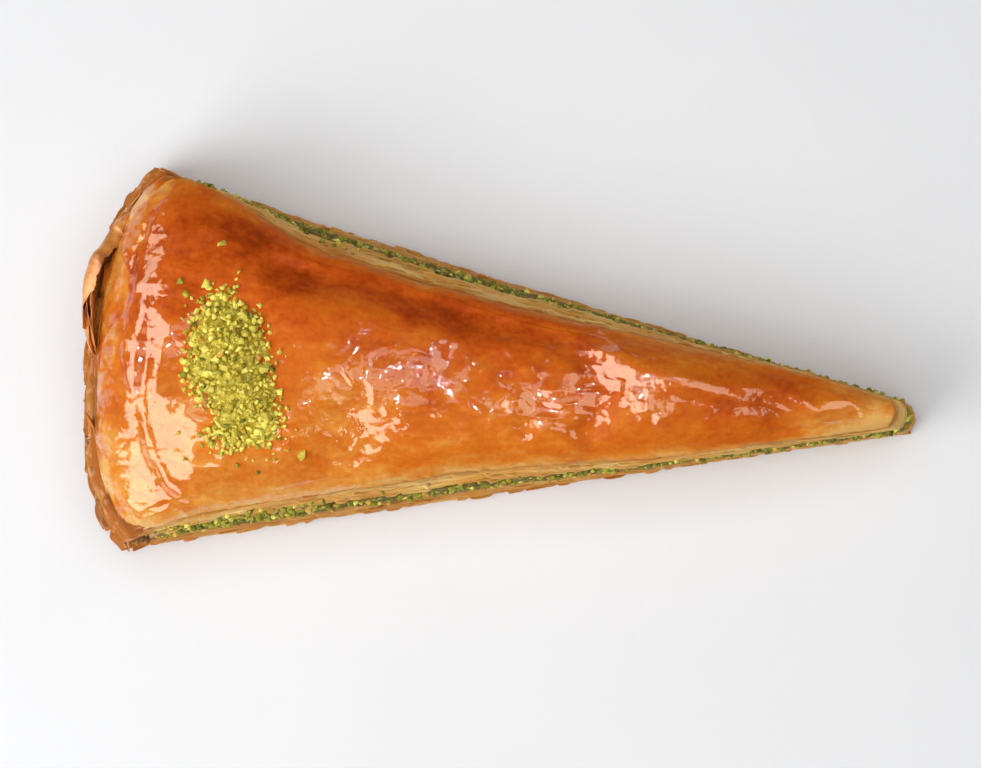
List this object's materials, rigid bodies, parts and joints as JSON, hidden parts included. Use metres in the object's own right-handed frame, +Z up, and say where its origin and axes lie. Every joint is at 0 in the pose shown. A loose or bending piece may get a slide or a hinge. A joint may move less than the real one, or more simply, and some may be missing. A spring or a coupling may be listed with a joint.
{
  "type": "baklava slice",
  "caption": "Long wedge of pistachio baklava: puffed, syrup-glazed filo over a nut layer and soaked filo, with ground pistachio on top.",
  "frame": {"origin": "under the middle of the slice, on the surface it rests on", "axes": "+X from the rounded outer end to the tip, +Y to the left when looking towards the tip, +Z up"},
  "size_m": [0.169, 0.0782, 0.0418],
  "materials": {
    "glazed_filo": "browned filo under a wet syrup glaze",
    "soaked_filo": "stacked filo sheets, syrup-soaked, satin",
    "ground_pistachio": "ground nut, dry on top and damp in the layer"
  },
  "bodies": {
    "root": {"filo_base": "soaked_filo", "pistachio_filling": "ground_pistachio", "filo_top": "glazed_filo"}
  },
  "joints": []
}
